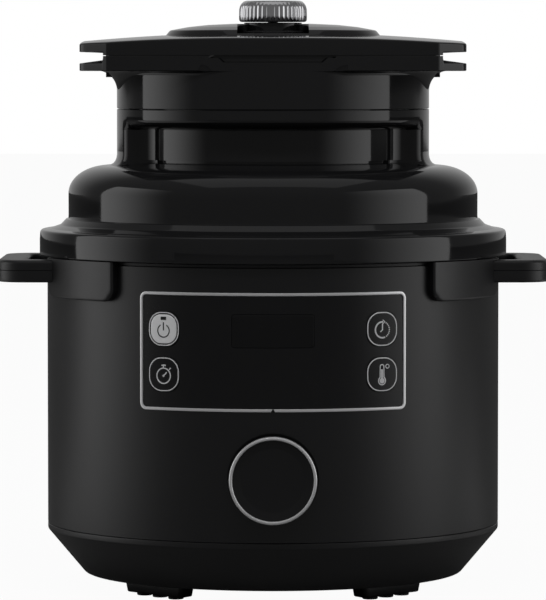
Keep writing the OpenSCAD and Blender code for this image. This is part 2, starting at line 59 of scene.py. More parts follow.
SHELL_LOW, SHELL_HIGH = box("body_shell")
BODY_R = SHELL_HIGH.x
BODY_TOP = SHELL_HIGH.z
BASE_LOW, BASE_HIGH = box("base_housing")
LID_LOW, LID_HIGH = box("lid_shell")
RIM_R = LID_HIGH.x
SEAM = LID_HIGH.z + 0.2                     # between the lid and the turning handle
COVER_LOW, COVER_HIGH = box("handle_cover")
COVER_SEAM = COVER_LOW.z
WING_X = COVER_HIGH.x
RING_R = box("handle_body")[1].y - 0.4      # the turning handle's cylinder
NECK_LOW, NECK_HIGH = box("neck_sleeve")
FRAME_LOW, FRAME_HIGH = box("panel_frame")
DIAL_LOW, DIAL_HIGH = box("dial_ring")
DIAL_Z = (DIAL_LOW.z + DIAL_HIGH.z) / 2
DIAL_R = DIAL_HIGH.x
VALVE_LOW, VALVE_HIGH = box("valve_ring")
HANDLE_LOW, HANDLE_HIGH = box("handle_right_frame")
CAP_LOW = box("handle_right_cap")[0]
KEYS = {
    "power": (box("button_power"), "key_power"),
    "timer": (box("button_timer"), "key_timer"),
    "delay": (box("button_delay"), "key_delay"),
    "temperature": (box("button_temperature"), "key_temperature"),
}


# ---- Materials ----

def join(tree, node, values):
    """Sets a shader node's inputs; a value that is another node's output is linked."""
    for key, value in values.items():
        if isinstance(value, bpy.types.NodeSocket):
            tree.links.new(value, node.inputs[key])
        else:
            node.inputs[key].default_value = value


def add_node(tree, kind, values, **settings):
    """Adds a shader node and gives its outputs."""
    node = tree.nodes.new("ShaderNode" + kind)
    for key, value in settings.items():
        setattr(node, key, value)
    join(tree, node, values)
    return node.outputs


def new_material(name):
    material = bpy.data.materials.new(name)
    material.use_nodes = True
    return material, material.node_tree, material.node_tree.nodes["Principled BSDF"]


def tinted(tree, factor, color, dark, light):
    """A colour that drifts between a darker and a lighter shade of itself."""
    shades = {"Color1": (*[c * dark for c in color], 1), "Color2": (*[min(1, c * light) for c in color], 1)}
    return add_node(tree, "MixRGB", {"Fac": factor, **shades})["Color"]


def surface(name, color, rough, metal=0.0, spread=0.1, grain=600.0, bump=0.02, stretch=(1, 1, 1),
            shade=0.15, ior=1.5):
    """A moulded, cast or plated surface: its colour and roughness drift over two scales of noise."""
    material, tree, shader = new_material(name)
    place = add_node(tree, "TexCoord", {})["Object"]
    scaled = add_node(tree, "Mapping", {"Vector": place, "Scale": stretch})["Vector"]
    fine = add_node(tree, "TexNoise", {"Vector": scaled, "Scale": grain, "Detail": 3})["Fac"]
    broad = add_node(tree, "TexNoise", {"Vector": place, "Scale": 14, "Detail": 4})["Fac"]
    half = add_node(tree, "Math", {0: broad, 1: 0.5}, operation="MULTIPLY")[0]
    blend = add_node(tree, "Math", {0: fine, 1: 0.5, 2: half}, operation="MULTIPLY_ADD")[0]
    worn = add_node(tree, "MapRange", {
        "Value": blend, "To Min": max(0.02, rough * (1 - spread)), "To Max": rough * (1 + spread)
    })["Result"]
    tint = tinted(tree, broad, color, 1 - shade, 1 + shade)
    join(tree, shader, {"Metallic": metal, "IOR": ior, "Base Color": tint, "Roughness": worn})
    if bump:
        relief = add_node(tree, "Bump", {"Strength": bump, "Distance": 0.0002, "Height": fine})["Normal"]
        join(tree, shader, {"Normal": relief})
    return material


def spun(name, color, rough, center, rings=9000.0):
    """A turned face: fine rings round an axis along Y through its centre."""
    material, tree, shader = new_material(name)
    place = add_node(tree, "TexCoord", {})["Object"]
    away = add_node(tree, "VectorMath", {0: place, 1: center}, operation="SUBTRACT")["Vector"]
    flat = add_node(tree, "VectorMath", {0: away, 1: (1, 0, 1)}, operation="MULTIPLY")["Vector"]
    size = add_node(tree, "VectorMath", {0: flat}, operation="LENGTH")["Value"]
    noise = add_node(tree, "TexNoise", {"W": size, "Scale": rings, "Detail": 2},
                     noise_dimensions="1D")["Fac"]
    worn = add_node(tree, "MapRange", {
        "Value": noise, "To Min": rough * 0.8, "To Max": rough * 1.2
    })["Result"]
    relief = add_node(tree, "Bump", {"Strength": 0.12, "Distance": 0.0001, "Height": noise})["Normal"]
    tint = tinted(tree, noise, color, 0.8, 1.25)
    join(tree, shader, {"Base Color": tint, "Roughness": worn, "Normal": relief})
    return material


GLOSS = surface("gloss_black", (0.0075, 0.0075, 0.008), 0.07, spread=0.35, grain=90, bump=0.004, shade=0.1)
SATIN = surface("satin_black", (0.0035, 0.0035, 0.004), 0.36, spread=0.12, grain=2400, bump=0.12, ior=1.6)
HANDLE_BLACK = surface("handle_black", (0.006, 0.006, 0.0065), 0.27, spread=0.15, grain=2000, bump=0.08)
FASCIA = surface("panel_black", (0.0036, 0.0036, 0.0041), 0.26, spread=0.2, grain=900, bump=0.01)
WINDOW = surface("display_black", (0.0022, 0.0022, 0.0025), 0.16, spread=0.2, grain=300, bump=0.0)
CHROME = surface("bright_chrome", (0.78, 0.78, 0.8), 0.12, metal=1, spread=0.25, grain=500, bump=0.01,
                 shade=0.04)
TRIM = surface("satin_chrome", (0.9, 0.9, 0.91), 0.3, metal=0.7, spread=0.2, grain=900, bump=0.02,
               shade=0.03)
PRINT = surface("silver_print", (0.62, 0.62, 0.63), 0.4, spread=0.2, grain=3000, bump=0.05)
KEY_SILVER = surface("key_silver", (0.9, 0.9, 0.91), 0.3, metal=0.3, spread=0.3, grain=250,
                     stretch=(1, 1, 14), bump=0.03, shade=0.06)
SLOT_DARK = surface("slot_dark", (0.002, 0.002, 0.002), 0.5)
RUBBER = surface("grey_rubber", (0.012, 0.012, 0.012), 0.7, spread=0.1, grain=1500, bump=0.3)
INNER = surface("inner_plastic", (0.015, 0.015, 0.016), 0.42, grain=1600, bump=0.15)
STEEL = surface("stainless", (0.55, 0.55, 0.56), 0.24, metal=1, spread=0.3, grain=260, stretch=(1, 1, 18),
                bump=0.04, shade=0.06)
CAST = surface("cast_aluminium", (0.6, 0.6, 0.61), 0.38, metal=1, spread=0.25, grain=420, bump=0.15)
POT = surface("pot_coating", (0.035, 0.035, 0.038), 0.33, spread=0.3, grain=1300, bump=0.1, shade=0.5)
SHEATH = surface("heater_sheath", (0.16, 0.13, 0.11), 0.45, metal=0.8, spread=0.3, grain=300, bump=0.1,
                 shade=0.4)
SILICONE = surface("silicone", (0.62, 0.61, 0.57), 0.5, spread=0.1, grain=700, bump=0.05, shade=0.05)
RED = surface("red_silicone", (0.42, 0.03, 0.025), 0.45, spread=0.1, grain=700, bump=0.05)
ZINC = surface("motor_steel", (0.42, 0.43, 0.44), 0.33, metal=1, spread=0.4, grain=60, bump=0.03, shade=0.2)
FAN_BLACK = surface("fan_plastic", (0.03, 0.03, 0.032), 0.4, grain=900, bump=0.05)
BRASS = surface("brass_pins", (0.72, 0.52, 0.2), 0.22, metal=1, spread=0.2, grain=300, bump=0.02)
GREEN = surface("green_board", (0.012, 0.09, 0.035), 0.3, grain=500, bump=0.05, shade=0.25)
BROWN = surface("brown_board", (0.2, 0.12, 0.05), 0.4, grain=500, bump=0.05, shade=0.25)
KNOB = spun("knob_black", (0.006, 0.006, 0.0065), 0.33, (0, 0, DIAL_Z * MM))

SLOT_LOOKS = {
    "satin_black": SATIN, "gloss_black": GLOSS, "panel_black": FASCIA, "bright_chrome": CHROME,
    "knob_black": KNOB, "grey_rubber": RUBBER, "inner_plastic": INNER, "stainless": STEEL,
    "cast_aluminium": CAST, "pot_coating": POT, "heater_sheath": SHEATH, "silicone": SILICONE,
    "red_silicone": RED, "motor_steel": ZINC, "fan_plastic": FAN_BLACK, "brass_pins": BRASS,
    "green_board": GREEN, "brown_board": BROWN,
}


# ---- Mesh tools, in millimetres ----

def rounded(points, steps=7):
    """An outline's points with each corner [x, y, radius] turned into an arc."""
    out = []
    count = len(points)
    for i, (x, y, r) in enumerate(points):
        b = Vector((x, y))
        if r <= 0:
            out.append(b)
            continue
        a = Vector(points[i - 1][:2]) - b
        c = Vector(points[(i + 1) % count][:2]) - b
        half = a.angle(c) / 2
        reach = min(r / math.tan(half), 0.499 * min(a.length, c.length))
        r = reach * math.tan(half)
        middle = b + (a.normalized() + c.normalized()).normalized() * r / math.sin(half)
        start = b + a.normalized() * reach - middle
        end = b + c.normalized() * reach - middle
        first, turn = math.atan2(start.y, start.x), start.angle_signed(end)
        for k in range(steps + 1):
            way = first - turn * k / steps
            out.append(middle + Vector((math.cos(way), math.sin(way))) * r)
    return out


def place_object(name, data):
    obj = bpy.data.objects.new(name, data)
    bpy.context.scene.collection.objects.link(obj)
    return obj


def smooth(data, sharp):
    """Shades a mesh smooth, but for edges sharper than an angle in degrees."""
    for polygon in data.polygons:
        polygon.use_smooth = True
    data.set_sharp_from_angle(angle=math.radians(sharp))


def make(name, verts, faces, material, body, sharp=32.0):
    """A piece from vertices in millimetres that rides on a body."""
    data = bpy.data.meshes.new(name)
    data.from_pydata([Vector(v) * MM for v in verts], [], faces)
    return dress(place_object(name, data), material, body, sharp)


def dress(obj, material, body, sharp=32.0):
    """Cleans a piece's mesh, gives it its material and lets it ride on its body."""
    data = obj.data
    bm = bmesh.new()
    bm.from_mesh(data)
    bmesh.ops.remove_doubles(bm, verts=bm.verts, dist=1e-7)
    bmesh.ops.dissolve_degenerate(bm, edges=bm.edges, dist=1e-7)
    bmesh.ops.recalc_face_normals(bm, faces=bm.faces)
    bm.to_mesh(data)
    bm.free()
    smooth(data, sharp)
    data.materials.clear()
    data.materials.append(material)
    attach(obj, body)
    return obj


def bevel(obj, width, segments=3, angle=35.0):
    """Rounds an object's sharp edges in its own mesh."""
    bm = bmesh.new()
    bm.from_mesh(obj.data)
    edges = [e for e in bm.edges if len(e.link_faces) == 2 and e.calc_face_angle(0) > math.radians(angle)]
    bmesh.ops.bevel(bm, geom=edges, offset=width * MM, segments=segments, profile=0.5, affect="EDGES",
                    clamp_overlap=True)
    bm.to_mesh(obj.data)
    bm.free()
    smooth(obj.data, 40)
    return obj


def even_normals(obj):
    """Lets large faces set the shading, so that a flat face beside a rounded edge looks flat."""
    step = obj.modifiers.new("normals", "WEIGHTED_NORMAL")
    step.keep_sharp = True
    step.weight = 100
    return obj


def grid_faces(rows, columns, closed=True):
    """Quads of a grid whose points run row by row; each row is a loop, and so are the rows if closed."""
    faces = []
    for i in range(rows if closed else rows - 1):
        this, following = i * columns, (i + 1) % rows * columns
        for k in range(columns):
            m = (k + 1) % columns
            faces.append((this + k, following + k, following + m, this + m))
    return faces


def prism_faces(count):
    """Faces of a prism whose two ends have count points each."""
    faces = [tuple(range(count)), tuple(range(2 * count - 1, count - 1, -1))]
    return faces + [(i, i + count, (i + 1) % count + count, (i + 1) % count) for i in range(count)]


def lathe(name, outline, material, body, steps=192, corner_steps=7, axis="Z", origin=(0, 0, 0), sharp=32.0):
    """A closed outline of [radius, height, corner radius] turned round an axis."""
    points = rounded(outline, corner_steps)
    count = len(points)
    verts = []
    for i in range(steps):
        a = 2 * math.pi * i / steps
        for p in points:
            if axis == "Z":
                verts.append((origin[0] + p.x * math.sin(a), origin[1] - p.x * math.cos(a), p.y))
            else:
                verts.append((origin[0] + p.x * math.cos(a), p.y, origin[2] + p.x * math.sin(a)))
    # A side of the outline that lies on the axis makes no face
    faces = [f for f in grid_faces(steps, count) if any(points[v % count].x > 1e-6 for v in f)]
    return make(name, verts, faces, material, body, sharp)


def sweep_plan(name, angles, profile, material, body, sharp=32.0):
    """A closed skin: at each angle from the front, profile(angle) gives [radius, height] points."""
    rows = [profile(a) for a in angles]
    verts = [(r * math.sin(a), -r * math.cos(a), z) for a, row in zip(angles, rows) for r, z in row]
    return make(name, verts, grid_faces(len(rows), len(rows[0])), material, body, sharp)


def cut(obj, tools, material, body):
    """Takes the tools' shapes out of an object and keeps only the result."""
    for tool in tools:
        step = obj.modifiers.new("cut", "BOOLEAN")
        step.operation = "DIFFERENCE"
        step.solver = "EXACT"
        step.object = tool
    bpy.context.view_layer.update()
    result = bpy.data.meshes.new_from_object(obj.evaluated_get(bpy.context.evaluated_depsgraph_get()))
    obj.modifiers.clear()
    obj.data = result
    for tool in tools:
        bpy.data.objects.remove(tool)
    return dress(obj, material, body)


def block_tool(outline, y0, y1):
    """A cutting block: an outline in X and Z drawn from y0 to y1."""
    verts = [(p[0], y, p[1]) for y in (y0, y1) for p in outline]
    data = bpy.data.meshes.new("tool")
    data.from_pydata([Vector(v) * MM for v in verts], [], prism_faces(len(outline)))
    bm = bmesh.new()
    bm.from_mesh(data)
    bmesh.ops.recalc_face_normals(bm, faces=bm.faces)
    bm.to_mesh(data)
    bm.free()
    return place_object("tool", data)


def box_outline(w, h, r, x=0.0, z=0.0, steps=6):
    corners = [(-w / 2, -h / 2, r), (w / 2, -h / 2, r), (w / 2, h / 2, r), (-w / 2, h / 2, r)]
    return [(p.x + x, p.y + z) for p in rounded(corners, steps)]


def circle_outline(r, x=0.0, z=0.0, steps=64):
    return [(x + r * math.cos(2 * math.pi * i / steps), z + r * math.sin(2 * math.pi * i / steps))
            for i in range(steps)]


def radial_normals(obj, radius, tolerance=0.3):
    """Makes faces that lie on a cylinder round Z shade as one true cylinder."""
    data = obj.data
    normals = [Vector(n.vector) for n in data.corner_normals]
    for polygon in data.polygons:
        places = [data.vertices[v].co for v in polygon.vertices]
        if all(abs(math.hypot(p.x, p.y) - radius * MM) < tolerance * MM for p in places):
            if abs(polygon.normal.z) < 0.3:
                for loop in polygon.loop_indices:
                    p = data.vertices[data.loops[loop].vertex_index].co
                    normals[loop] = Vector((p.x, p.y, 0)).normalized()
    data.normals_split_custom_set([tuple(n) for n in normals])


# ---- Body ----

def wrap(u, z, lift, middle=0.0):
    """A place on the body: u round it from an angle in degrees, z up, and lift off its surface."""
    a = math.radians(middle) + u / BODY_R
    return ((BODY_R + lift) * math.sin(a), -(BODY_R + lift) * math.cos(a), z)


FRAME_HALF = BODY_R * math.asin(FRAME_HIGH.x / BODY_R)       # half its width, round the body
FRAME_MID = (FRAME_LOW.z + FRAME_HIGH.z) / 2
FRAME_TALL = FRAME_HIGH.z - FRAME_LOW.z
KEY_ANGLE = 27.6                            # from the front to the middle of a column of keys
KEY_SIDE = KEYS["power"][0][1].z - KEYS["power"][0][0].z


def base():
    low = BASE_LOW.z
    lathe("base_skin", [
        (BODY_R, BASE_HIGH.z, 0.5), (BODY_R, 42, 2.5), (133.6, low, 4), (90, low, 0.5), (90, low + 2.4, 0.5),
        (132.2, low + 2.4, 2), (BODY_R - 2.6, 43, 2), (BODY_R - 2.6, BASE_HIGH.z, 0.5)
    ], SATIN, "base")
    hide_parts("base_housing")


def body_skin():
    r, wall = BODY_R, 2.4
    skin = lathe("body_skin", [
        (r, SHELL_LOW.z, 0.6), (r, 60, 0), (r, 90, 0), (r, 120, 0), (r, 150, 0), (r, 180, 0), (r, 210, 0),
        (r, BODY_TOP, 0.8), (r - wall, BODY_TOP, 0.3), (r - wall, SHELL_LOW.z, 0.3)
    ], SATIN, "base", steps=256, corner_steps=3)
    tools = [
        block_tool(box_outline(2 * FRAME_HIGH.x - 2, FRAME_TALL - 2, 3, 0, FRAME_MID), -200, 0),
        block_tool(circle_outline(DIAL_R + 1.3, 0, DIAL_Z, 96), -200, 0),
        block_tool(box_outline(48.6, 36.6, 4, 0, 80), 0, 200),
    ]
    cut(skin, tools, SATIN, "base")
    radial_normals(skin, r)
    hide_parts("body_shell")


def wrapped_outline(name, outline, hole, low, high, material, body, middle=0.0, round_edge=0.25):
    """A band between two outlines with equal point counts, on the body's surface, with softened edges."""
    def ring(points, grow, lift):
        count = len(points)
        out = []
        for i, p in enumerate(points):
            a, b = Vector(points[i - 1]), Vector(points[(i + 1) % count])
            t = (b - a).normalized()
            n = Vector((t.y, -t.x))
            out.append(wrap(p[0] + n.x * grow, p[1] + n.y * grow, lift, middle))
        return out
    e = round_edge
    rings = [
        ring(outline, 0, low), ring(outline, 0, high - e), ring(outline, -0.3 * e, high - 0.3 * e),
        ring(outline, -e, high), ring(hole, e, high), ring(hole, 0.3 * e, high - 0.3 * e),
        ring(hole, 0, high - e), ring(hole, 0, low)
    ]
    verts = [v for r in rings for v in r]
    return make(name, verts, grid_faces(len(rings), len(outline)), material, body, 45)


def dense_box(w, h, r, z=0.0, u=0.0, corner=8, along=40):
    """A rounded box outline with points along its straight sides too, so that it can bend round the body."""
    points = []
    corners = [(-1, -1, 180), (1, -1, 270), (1, 1, 0), (-1, 1, 90)]
    for sx, sy, start in corners:
        cx, cy = sx * (w / 2 - r), sy * (h / 2 - r)
        for i in range(corner + 1):
            a = math.radians(start + 90 * i / corner)
            points.append((u + cx + r * math.cos(a), z + cy + r * math.sin(a)))
        last = points[-1]
        index = corners.index((sx, sy, start))
        nx, ny, nstart = corners[(index + 1) % 4]
        a = math.radians(nstart)
        nxt = (u + nx * (w / 2 - r) + r * math.cos(a), z + ny * (h / 2 - r) + r * math.sin(a))
        for i in range(1, along):
            t = i / along
            points.append((last[0] + (nxt[0] - last[0]) * t, last[1] + (nxt[1] - last[1]) * t))
    return points


def patch(name, outline, low, high, material, body, middle=0.0, edge=0.5, rings=10):
    """A closed plate on the body's surface, filled by shrinking its outline towards its centre."""
    count = len(outline)
    cu = sum(p[0] for p in outline) / count
    cz = sum(p[1] for p in outline) / count
    levels = [(1.0, 0.0, low), (1.0, 0.0, high - edge)]
    for k in range(1, 4):
        a = math.pi / 2 * k / 3
        levels.append((1.0, edge * (1 - math.cos(a)), high - edge + edge * math.sin(a)))
    verts = []
    half = max(abs(p[1] - cz) for p in outline)
    for share, inset, lift in levels:
        f = share - inset / half
        verts.extend(wrap(cu + (p[0] - cu) * f, cz + (p[1] - cz) * f, lift, middle) for p in outline)
    f0 = 1 - edge / half
    for k in range(1, rings):
        f = f0 * (1 - k / rings)
        verts.extend(wrap(cu + (p[0] - cu) * f, cz + (p[1] - cz) * f, high, middle) for p in outline)
    last = len(levels) + rings - 2
    faces = grid_faces(last + 1, count, closed=False)
    verts.append(wrap(cu, cz, high, middle))
    tip = len(verts) - 1
    faces.extend((last * count + i, last * count + (i + 1) % count, tip) for i in range(count))
    verts.append(wrap(cu, cz, low, middle))
    faces.extend((i, (i + 1) % count, tip + 1) for i in range(count))
    return make(name, verts, faces, material, body, 45)


def panel():
    frame_piece = wrapped_outline(
        "frame_skin", dense_box(2 * FRAME_HALF - 1.2, FRAME_TALL, 4.6, FRAME_MID),
        dense_box(2 * FRAME_HALF - 5.0, FRAME_TALL - 4.0, 3.0, FRAME_MID), -0.4, 0.9, TRIM, "base")
    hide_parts("panel_frame")
    low = FRAME_LOW.z
    corners = [(-1.5, low - 0.1), (1.5, low - 0.1), (0, low + 2.6)]
    verts = [wrap(u, z, lift) for lift in (0.2, 1.0) for u, z in corners]
    notch = make("frame_notch", verts, [(0, 2, 1), (3, 4, 5), (0, 1, 4, 3), (1, 2, 5, 4), (2, 0, 3, 5)],
                 SLOT_DARK, "base", 30)
    # The fascia: a thin strip bent round the body, with openings for the keys and the window
    half = math.degrees(FRAME_HALF / BODY_R) - 0.35
    steps = 72
    verts = []
    for i in range(steps + 1):
        a = math.radians(-half + 2 * half * i / steps)
        for r, z in [(BODY_R - 0.05, FRAME_LOW.z + 1), (BODY_R - 0.05, FRAME_HIGH.z - 1),
                     (BODY_R - 2, FRAME_HIGH.z - 1), (BODY_R - 2, FRAME_LOW.z + 1)]:
            verts.append((r * math.sin(a), -r * math.cos(a), z))
    faces = grid_faces(steps + 1, 4, closed=False)
    faces += [(0, 1, 2, 3), tuple(4 * steps + k for k in range(4))]
    fascia = make("fascia_skin", verts, faces, FASCIA, "base")
    tools = []
    for (low, high), _ in KEYS.values():
        side = 1 if low.x + high.x > 0 else -1
        opening = box_outline(KEY_SIDE + 0.7, KEY_SIDE + 0.7, 8.9, 0, (low.z + high.z) / 2)
        tool = block_tool(opening, -200, -120)
        tool.matrix_world = Matrix.Rotation(math.radians(side * KEY_ANGLE), 4, "Z")
        tools.append(tool)
    low, high = box("display_window")
    tools.append(block_tool(box_outline(high.x - low.x + 0.5, high.z - low.z + 0.5, 2.2, 0,
                                        (low.z + high.z) / 2), -200, -120))
    cut(fascia, tools, FASCIA, "base")
    radial_normals(fascia, BODY_R - 0.05)
    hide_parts("control_panel")
    width = BODY_R * math.asin((high.x - low.x) / 2 / BODY_R) * 2
    window = patch("window_skin", dense_box(width, high.z - low.z, 1.8, (low.z + high.z) / 2, along=16),
                   -1.6, -0.15, WINDOW, "base", edge=0.15)
    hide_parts("display_window")


# Signs on the keys, drawn in millimetres from the middle of a key

def arc_line(x, z, r, start, end, steps=40):
    return [(x + r * math.cos(math.radians(start + (end - start) * i / steps)),
             z + r * math.sin(math.radians(start + (end - start) * i / steps))) for i in range(steps + 1)]


def sign(name, strokes, dots, key, body, material, lift=0.56):
    """Strokes are (points, width) and dots are (x, z, radius), all a film thick on the key's face."""
    (low, high), _ = KEYS[key]
    side = 1 if low.x + high.x > 0 else -1
    middle = (low.z + high.z) / 2
    film = 0.09
    verts, faces = [], []

    def prism(outline):
        start, count = len(verts), len(outline)
        verts.extend(wrap(u, middle + z, lift, side * KEY_ANGLE) for u, z in outline)
        verts.extend(wrap(u, middle + z, lift - film, side * KEY_ANGLE) for u, z in outline)
        return start, count

    for points, width in strokes:
        left, right = [], []
        for i, p in enumerate(points):
            a = Vector(points[max(0, i - 1)])
            b = Vector(points[min(len(points) - 1, i + 1)])
            t = (b - a).normalized()
            n = Vector((-t.y, t.x)) * width / 2
            left.append((p[0] + n.x, p[1] + n.y))
            right.append((p[0] - n.x, p[1] - n.y))
        start, count = prism(left + right)
        half = len(points)
        for i in range(half - 1):
            top = (start + i, start + i + 1, start + half + i + 1, start + half + i)
            faces.append(top)
            faces.append(tuple(v + count for v in reversed(top)))
            faces.append((start + i, start + i + count, start + i + 1 + count, start + i + 1))
            j = start + half + i
            faces.append((j + 1, j + 1 + count, j + count, j))
        for i in (0, half - 1):
            faces.append((start + i, start + half + i, start + half + i + count, start + i + count))
    for x, z, r in dots:
        start, count = prism(circle_outline(r, x, z, 16))
        faces.append(tuple(start + i for i in range(count)))
        faces.append(tuple(start + count + i for i in reversed(range(count))))
        faces.extend((start + i, start + i + count, start + (i + 1) % count + count, start + (i + 1) % count)
                     for i in range(count))
    piece = make(name, verts, faces, material, body, 40)
    return piece


def keys():
    for key, ((low, high), body) in KEYS.items():
        side = 1 if low.x + high.x > 0 else -1
        middle = (low.z + high.z) / 2
        outline = dense_box(KEY_SIDE, KEY_SIDE, 8.6, middle, corner=10, along=6)
        cap = patch("key_cap_" + key, outline, -5.4, 0.45, FASCIA, body, side * KEY_ANGLE, edge=0.6)
        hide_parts("button_" + key)
        ring = wrapped_outline("key_ring_" + key, dense_box(KEY_SIDE - 0.4, KEY_SIDE - 0.4, 9.6, middle,
                                                            corner=10, along=6),
                               dense_box(KEY_SIDE - 1.9, KEY_SIDE - 1.9, 8.9, middle, corner=10, along=6),
                               0.3, 0.56, PRINT, body, side * KEY_ANGLE, 0.05)
    plate = patch("power_plate", dense_box(KEY_SIDE - 3.6, KEY_SIDE - 3.6, 7.8, (KEYS["power"][0][0].z
                  + KEYS["power"][0][1].z) / 2, corner=10, along=6), 0.2, 0.62, KEY_SILVER, "key_power",
                  -KEY_ANGLE, edge=0.2)
    sign("power_sign", [(arc_line(0, -1.2, 4.4, 120, 420), 0.8), ([(0, -1.0), (0, 4.6)], 0.9)], [],
         "power", "key_power", SLOT_DARK, 0.71)
    sign("power_lamp", [([(-2.1, 7.2), (2.1, 7.2)], 2.2)], [], "power", "key_power", SLOT_DARK, 0.71)
    sign("timer_sign", [
        (arc_line(0, -1.0, 5.2, 0, 360), 0.85), ([(0, -1.0), (2.4, 1.5)], 0.9),
        ([(-1.6, 6.1), (1.6, 6.1)], 1.0), ([(0, 4.6), (0, 6.0)], 0.8), ([(4.2, 3.2), (5.4, 4.5)], 0.8)
    ], [(0, -1.0, 0.8)], "timer", "key_timer", PRINT)
    sign("delay_sign", [
        (arc_line(0, -0.6, 5.4, 84, 292), 1.1), ([(0, 3.6), (0, -0.6), (-1.6, -2.0)], 0.8),
        ([(0.2, 6.2), (1.9, 4.8), (0.2, 3.5)], 0.7)
    ], [(5.4 * math.cos(math.radians(a)), 5.4 * math.sin(math.radians(a)) - 0.6, 0.5)
        for a in range(-54, 66, 14)], "delay", "key_delay", PRINT)
    sign("temperature_sign", [
        (arc_line(-0.3, -4.4, 2.7, 122, 418), 0.7), ([(-1.75, -2.2), (-1.75, 5.2)], 0.7),
        ([(1.15, -2.2), (1.15, 5.2)], 0.7), (arc_line(-0.3, 5.2, 1.45, 0, 180, 12), 0.7),
        ([(-0.3, -4.4), (-0.3, 3.4)], 1.3), (arc_line(3.9, 5.4, 1.3, 0, 360, 20), 0.6)
    ], [(-0.3, -4.4, 1.9)], "temperature", "key_temperature", PRINT)


def dial():
    face = box("dial_knob")[0].y
    back = box("dial_knob")[1].y
    rim_front, rim_back = DIAL_LOW.y, DIAL_HIGH.y
    origin = (0, 0, DIAL_Z)
    dish = 1.7
    knob = lathe("knob_skin", [
        (0, face + dish, 0), (DIAL_R * 0.5, face + dish, 0), (DIAL_R * 0.73, face + dish * 0.95, 6),
        (DIAL_R - 2.3, face, 0.3), (DIAL_R - 2.3, rim_back - 0.4, 0), (DIAL_R - 0.25, rim_back - 0.2, 0.3),
        (DIAL_R - 0.6, back, 0.8), (DIAL_R - 3, back, 0), (DIAL_R - 3, -166, 0), (0, -166, 0)
    ], KNOB, "dial", steps=160, axis="Y", origin=origin)
    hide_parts("dial_knob")
    rim = lathe("dial_rim", [
        (DIAL_R, rim_back, 0.3), (DIAL_R, rim_front, 1.5), (DIAL_R - 2.3, rim_front, 0.9),
        (DIAL_R - 2.3, rim_back, 0)
    ], TRIM, "dial", steps=160, axis="Y", origin=origin)
    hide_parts("dial_ring")


# ---- Side handles ----

def side_handle(side, name):
    """A loop in two halves whose arms run into a curved panel at each end."""
    reach, half, thick = HANDLE_HIGH.x, 62.0, 17.5
    outer = rounded([(148, -half, 0), (reach, -half, 21), (reach, half, 21), (148, half, 0)], 14)
    inner = rounded([(152, half - thick, 0), (reach - 20, half - thick, 7), (reach - 20, thick - half, 7),
                     (152, thick - half, 0)], 8)
    outline = [(side * p.x, p.y) for p in outer + inner]
    for part, low, high, node in (("lower", HANDLE_LOW.z + 9.7, HANDLE_HIGH.z, "frame"),
                                  ("upper", CAP_LOW.z - 0.12, HANDLE_HIGH.z + 7.3, "cap")):
        verts = [(x, y, z) for z in (low, high) for x, y in outline]
        piece = make(f"{name}_{part}", verts, prism_faces(len(outline)), SATIN, "base")
        bm = bmesh.new()
        bm.from_mesh(piece.data)
        level = (high if part == "upper" else low) * MM
        seam = (low if part == "upper" else high) * MM
        big = [e for e in bm.edges if all(abs(v.co.z - level) < 1e-6 for v in e.verts)]
        bmesh.ops.bevel(bm, geom=big, offset=(3.2 if part == "upper" else 1.8) * MM, segments=6, profile=0.5,
                        affect="EDGES", clamp_overlap=True)
        small = [e for e in bm.edges if all(abs(v.co.z - seam) < 1e-6 for v in e.verts)]
        bmesh.ops.bevel(bm, geom=small, offset=0.25 * MM, segments=1, profile=0.5, affect="EDGES")
        bm.to_mesh(piece.data)
        bm.free()
        smooth(piece.data, 35)
        even_normals(piece)
        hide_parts(f"handle_{name}_{node}")
    for end in ("front", "rear"):
        lug(f"{name}_{end}_lug", side, end)


LUG_START, LUG_END = 41.6, 71.4             # degrees round the body from its front or its rear


